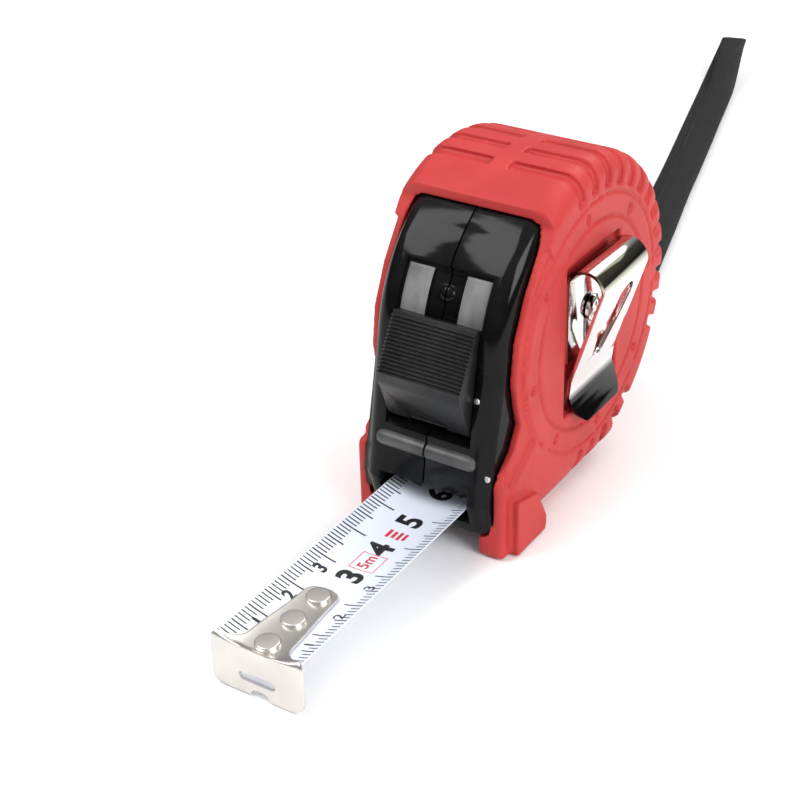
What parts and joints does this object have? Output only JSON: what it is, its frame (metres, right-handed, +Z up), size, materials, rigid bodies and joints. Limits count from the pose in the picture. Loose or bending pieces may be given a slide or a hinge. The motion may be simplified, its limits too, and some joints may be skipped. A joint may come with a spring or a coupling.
{
  "type": "tape measure",
  "caption": "Pocket tape measure with a rubber-jacketed case, its blade partly drawn out and locked, a riveted end hook, a thumb lock, a belt clip and a wrist strap.",
  "frame": {"origin": "on the surface the case stands on, straight below the drum's axis, in the case's middle plane", "axes": "+Z up; the blade leaves the mouth towards -Y and the strap lies out towards +Y; the belt clip is on the +X side"},
  "size_m": [0.0858, 0.335, 0.0715],
  "materials": {
    "gloss_black": "high gloss black moulded plastic",
    "satin_black": "satin black moulded plastic",
    "red_rubber": "soft matt red overmoulded rubber",
    "blade_white": "white lacquered spring steel, satin",
    "nickel": "warm nickel plate",
    "chrome": "polished chrome plate",
    "grey_plastic": "grey moulded plastic",
    "spring_steel": "blued spring steel",
    "black_strap": "black woven flat strap"
  },
  "bodies": {
    "case": {"case_right": "gloss_black", "case_left": "gloss_black", "rubber_jacket": "red_rubber", "centre_post": "nickel", "belt_clip": "chrome", "clip_screw": "chrome", "case_screw_1": "nickel", "case_screw_2": "nickel", "case_screw_3": "nickel", "case_screw_4": "nickel", "wrist_strap": "black_strap", "strap_pin": "nickel"},
    "blade_strip": {"blade": "blade_white", "hook_rivet_1": "nickel", "hook_rivet_2": "nickel", "hook_rivet_3": "nickel"},
    "hook": {"end_hook": "nickel"},
    "drum": {"spool": "grey_plastic", "spring_cover": "grey_plastic", "blade_coil": "blade_white", "power_spring": "spring_steel"},
    "lock": {"lock_slider": "satin_black", "brake_arm": "satin_black"}
  },
  "joints": [
    {"name": "blade_slide", "type": "slide", "parent": "case", "child": "blade_strip", "axis": [0, -1, 0], "range_m": [-0.054, 0], "deforming": ["blade"]},
    {"name": "hook_play", "type": "slide", "parent": "blade_strip", "child": "hook", "axis": [0, -1, 0], "range_m": [0, 0.0008]},
    {"name": "spool_turn", "type": "hinge", "parent": "case", "child": "drum", "pos_m": [0, 0, 0.037], "axis": [1, 0, 0], "range_deg": [0, 144], "deforming": ["power_spring"]},
    {"name": "lock_slide", "type": "hinge", "parent": "case", "child": "lock", "pos_m": [0, 0, 0.037], "axis": [1, 0, 0], "range_deg": [-13, 0]}
  ],
  "couplings": [
    {"joint": "spool_turn", "follows": "blade_slide", "rad_per_m": -46.5}
  ]
}
